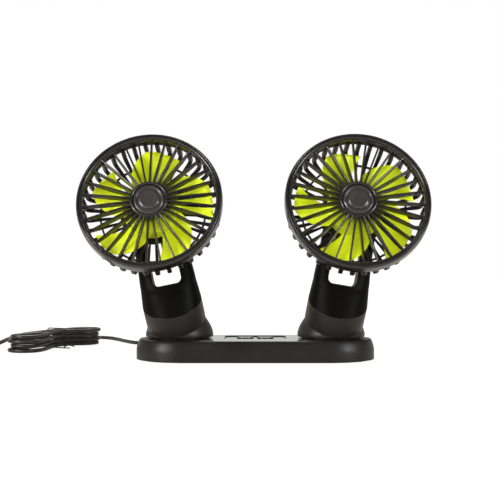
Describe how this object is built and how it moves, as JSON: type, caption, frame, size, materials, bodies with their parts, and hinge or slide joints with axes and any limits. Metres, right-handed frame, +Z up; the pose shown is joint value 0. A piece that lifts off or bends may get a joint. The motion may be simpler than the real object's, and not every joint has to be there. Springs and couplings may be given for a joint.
{
  "type": "double desk fan",
  "caption": "Twin round fan heads on jointed posts over a long flat base with push buttons, a tied cord and a plug.",
  "frame": {"origin": "middle of the base's underside, where it rests", "axes": "+X along the base to the right seen from the front, the front faces -Y, +Z up"},
  "size_m": [0.3798, 0.2706, 0.1677],
  "materials": {
    "satin_black_plastic": "satin moulded",
    "gloss_black_plastic": "glossy moulded",
    "lime_plastic": "satin moulded, slightly translucent",
    "black_rubber": "matte",
    "plain_steel": "plain",
    "bronze_bush": "sintered",
    "pale_nylon": "natural",
    "green_board": "lacquered board",
    "cord_jacket": "satin jacket"
  },
  "bodies": {
    "base": {"base_shell": "satin_black_plastic", "base_plate": "satin_black_plastic", "base_pad": "black_rubber", "control_panel": "gloss_black_plastic", "circuit_board": "green_board", "cord_grommet": "black_rubber", "cord_lead": "cord_jacket", "cord_hank": "cord_jacket", "cord_tail": "cord_jacket", "hank_tie": "black_rubber", "usb_plug": "black_rubber", "usb_shell": "plain_steel", "usb_tongue": "pale_nylon", "base_screw_1": "plain_steel", "base_screw_2": "plain_steel", "base_screw_3": "plain_steel", "base_screw_4": "plain_steel", "left_button_switch": "pale_nylon", "right_button_switch": "pale_nylon", "left_pedestal_washer": "pale_nylon", "right_pedestal_washer": "pale_nylon"},
    "left_pedestal": {"left_pedestal": "satin_black_plastic", "left_pedestal_clip": "plain_steel"},
    "left_arm": {"left_fork": "gloss_black_plastic", "left_elbow_washer": "pale_nylon", "left_elbow_clip": "plain_steel", "left_tilt_bolt": "plain_steel", "left_tilt_nut": "plain_steel"},
    "left_head": {"left_front_grille": "satin_black_plastic", "left_hub_cap": "gloss_black_plastic", "left_rear_cage": "satin_black_plastic", "left_motor_housing": "satin_black_plastic", "left_motor": "plain_steel", "left_motor_bush": "bronze_bush", "left_housing_screw_1": "plain_steel", "left_housing_screw_2": "plain_steel", "left_housing_screw_3": "plain_steel"},
    "left_rotor": {"left_rotor": "lime_plastic", "left_rotor_shaft": "plain_steel"},
    "left_button": {"left_button": "gloss_black_plastic"},
    "right_pedestal": {"right_pedestal": "satin_black_plastic", "right_pedestal_clip": "plain_steel"},
    "right_arm": {"right_fork": "gloss_black_plastic", "right_elbow_washer": "pale_nylon", "right_elbow_clip": "plain_steel", "right_tilt_bolt": "plain_steel", "right_tilt_nut": "plain_steel"},
    "right_head": {"right_front_grille": "satin_black_plastic", "right_hub_cap": "gloss_black_plastic", "right_rear_cage": "satin_black_plastic", "right_motor_housing": "satin_black_plastic", "right_motor": "plain_steel", "right_motor_bush": "bronze_bush", "right_housing_screw_1": "plain_steel", "right_housing_screw_2": "plain_steel", "right_housing_screw_3": "plain_steel"},
    "right_rotor": {"right_rotor": "lime_plastic", "right_rotor_shaft": "plain_steel"},
    "right_button": {"right_button": "gloss_black_plastic"}
  },
  "joints": [
    {"name": "left_pedestal_turn", "type": "hinge", "parent": "base", "child": "left_pedestal", "pos_m": [-0.0574, 0, 0.016], "axis": [0, 0, 1], "range_deg": [-72.8, 107.2]},
    {"name": "left_elbow_turn", "type": "hinge", "parent": "left_pedestal", "child": "left_arm", "pos_m": [-0.06219, -0.01558, 0.0442], "axis": [0.1558, 0.5065, -0.848], "range_deg": [-155, 45]},
    {"name": "left_head_tilt", "type": "hinge", "parent": "left_arm", "child": "left_head", "pos_m": [-0.07409, -0.01001, 0.10114], "axis": [0.9789, 0.0355, 0.2011], "range_deg": [-69.5, 20]},
    {"name": "left_rotor_spin", "type": "hinge", "parent": "left_head", "child": "left_rotor", "pos_m": [-0.07409, -0.01001, 0.10114], "axis": [-0.0438, -0.9253, 0.3767], "continuous": true},
    {"name": "left_button_press", "type": "slide", "parent": "base", "child": "left_button", "axis": [0, 0, -1], "range_m": [0, 0.001], "stiffness_N_per_m": 900},
    {"name": "right_pedestal_turn", "type": "hinge", "parent": "base", "child": "right_pedestal", "pos_m": [0.0574, 0, 0.016], "axis": [0, 0, 1], "range_deg": [-104.6, 75.4]},
    {"name": "right_elbow_turn", "type": "hinge", "parent": "right_pedestal", "child": "right_arm", "pos_m": [0.06148, -0.01578, 0.0442], "axis": [-0.1327, 0.513, -0.848], "range_deg": [-40, 160]},
    {"name": "right_head_tilt", "type": "hinge", "parent": "right_arm", "child": "right_head", "pos_m": [0.07109, -0.01063, 0.10161], "axis": [0.9864, -0.0156, -0.1638], "range_deg": [-69.5, 20]},
    {"name": "right_rotor_spin", "type": "hinge", "parent": "right_head", "child": "right_rotor", "pos_m": [0.07109, -0.01063, 0.10161], "axis": [0.0465, -0.9285, 0.3684], "continuous": true},
    {"name": "right_button_press", "type": "slide", "parent": "base", "child": "right_button", "axis": [0, 0, -1], "range_m": [0, 0.001], "stiffness_N_per_m": 900}
  ]
}
